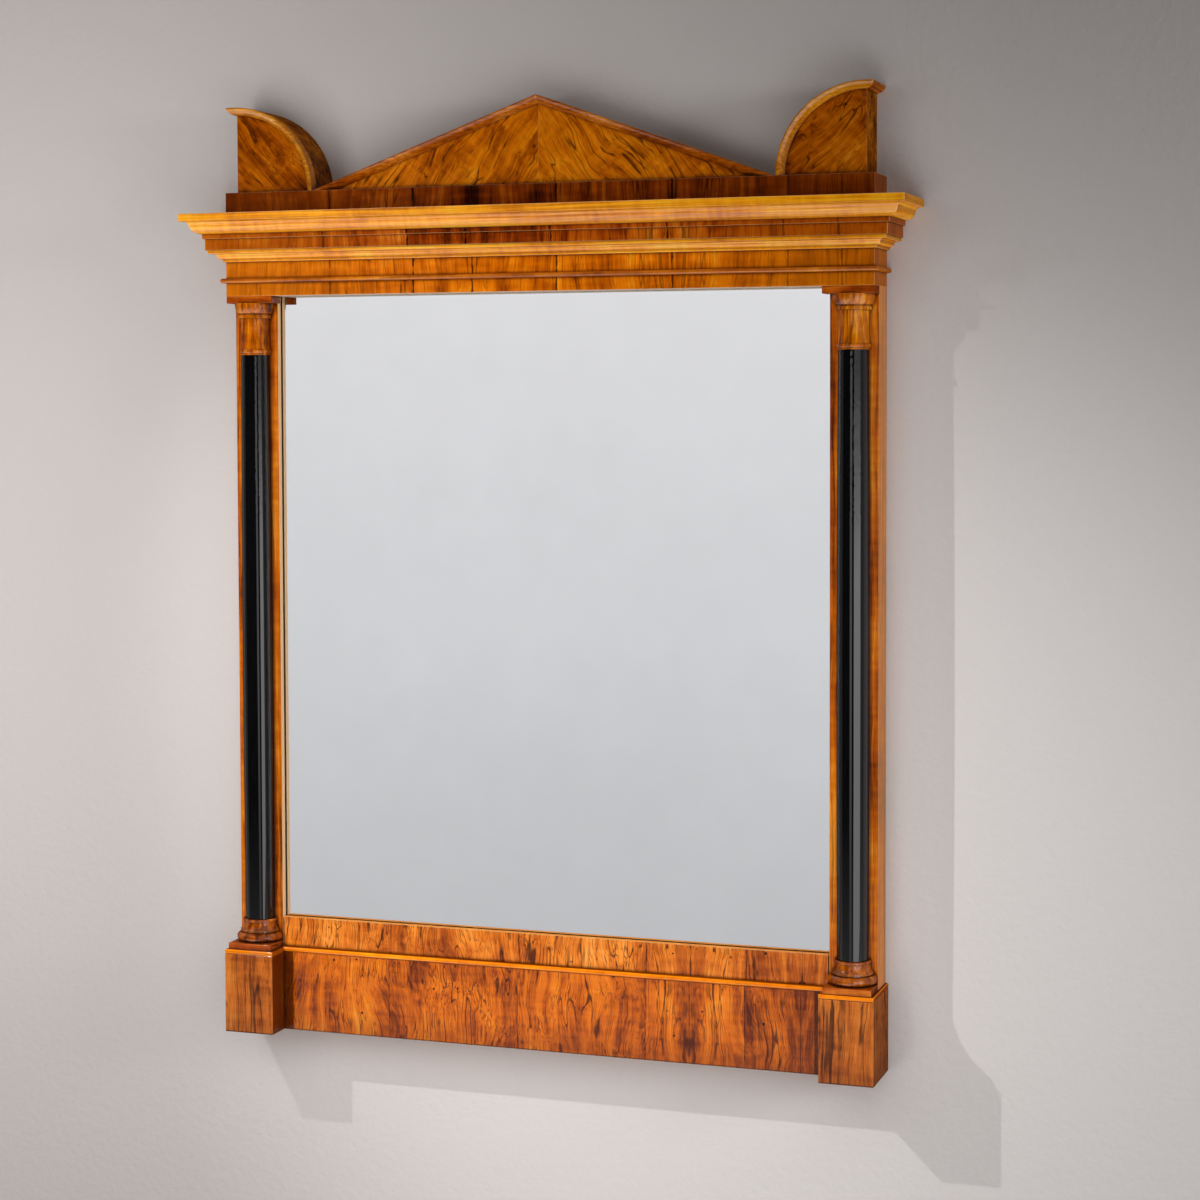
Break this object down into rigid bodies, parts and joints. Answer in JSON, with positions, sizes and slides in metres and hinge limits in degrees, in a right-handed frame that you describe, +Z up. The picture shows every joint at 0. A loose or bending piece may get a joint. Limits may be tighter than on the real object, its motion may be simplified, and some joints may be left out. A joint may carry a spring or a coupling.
{
  "type": "wall mirror",
  "caption": "Wall mirror in an architectural walnut frame: black half columns on plinths, stepped cornice, low pediment and quarter-round end blocks; hangs by keyhole plates.",
  "frame": {"origin": "on the wall plane, at the back of the mirror, midway between the two hanging holes", "axes": "+X to the right seen from the front, +Y out of the back into the wall, +Z up; the glass faces -Y"},
  "size_m": [0.8768, 0.1049, 1.1141],
  "materials": {
    "walnut_stile": "straight-grained walnut veneer under gloss shellac",
    "walnut_apron": "strongly figured walnut veneer in leaves, gloss shellac",
    "walnut_bead": "golden orange walnut moulding, gloss shellac",
    "walnut_plinth": "striped walnut veneer, gloss shellac",
    "walnut_turned": "turned walnut, high gloss shellac",
    "ebonised": "ebonised fruitwood, polished black",
    "walnut_cross": "cross-grained walnut veneer, gloss shellac",
    "walnut_moulding": "golden walnut moulding, gloss shellac",
    "walnut_attic": "dark cross-grained walnut veneer, gloss shellac",
    "walnut_crest": "swirling walnut veneer, gloss shellac",
    "walnut_rim": "reddish walnut moulding, gloss shellac",
    "softwood": "aged bare spruce",
    "oak": "bare oak pegs and dowels",
    "glass": "clear old plate glass",
    "silvering": "bright tin silvering",
    "iron": "dark forged iron"
  },
  "bodies": {
    "root": {"stile_left": "walnut_stile", "stile_right": "walnut_stile", "bottom_rail": "walnut_apron", "apron_board": "walnut_apron", "apron_bead": "walnut_bead", "plinth_cap_left": "walnut_bead", "plinth_cap_right": "walnut_bead", "plinth_block_left": "walnut_plinth", "plinth_block_right": "walnut_plinth", "column_slab_left": "walnut_turned", "column_slab_right": "walnut_turned", "column_base_left": "walnut_turned", "column_base_right": "walnut_turned", "column_capital_left": "walnut_turned", "column_capital_right": "walnut_turned", "column_shaft_left": "ebonised", "column_shaft_right": "ebonised", "frieze_board": "walnut_cross", "corona_front": "walnut_cross", "corona_return_left": "walnut_cross", "corona_return_right": "walnut_cross", "bed_moulding_front": "walnut_moulding", "bed_moulding_return_left": "walnut_moulding", "bed_moulding_return_right": "walnut_moulding", "crown_moulding_front": "walnut_moulding", "crown_moulding_return_left": "walnut_moulding", "crown_moulding_return_right": "walnut_moulding", "attic_board": "walnut_attic", "quarter_block_left": "walnut_crest", "quarter_block_right": "walnut_crest", "quarter_leaf_left": "walnut_crest", "quarter_leaf_right": "walnut_crest", "pediment_block": "walnut_crest", "tympanum_left": "walnut_crest", "tympanum_right": "walnut_crest", "abacus_block_left": "walnut_rim", "abacus_block_right": "walnut_rim", "astragal_front": "walnut_rim", "astragal_return_left": "walnut_rim", "astragal_return_right": "walnut_rim", "quarter_rim_left": "walnut_rim", "quarter_rim_right": "walnut_rim", "quarter_return_left": "walnut_rim", "quarter_return_right": "walnut_rim", "rake_moulding_left": "walnut_rim", "rake_moulding_right": "walnut_rim", "head_rail": "softwood", "glass_blocks": "softwood", "backboard_1": "softwood", "backboard_2": "softwood", "backboard_3": "softwood", "frame_pegs": "oak", "crest_dowels": "oak", "mirror_glass": "glass", "mirror_silvering": "silvering", "backboard_nails": "iron", "hanging_plate_left": "iron", "hanging_plate_right": "iron", "hanging_plate_screws": "iron"}
  },
  "joints": []
}
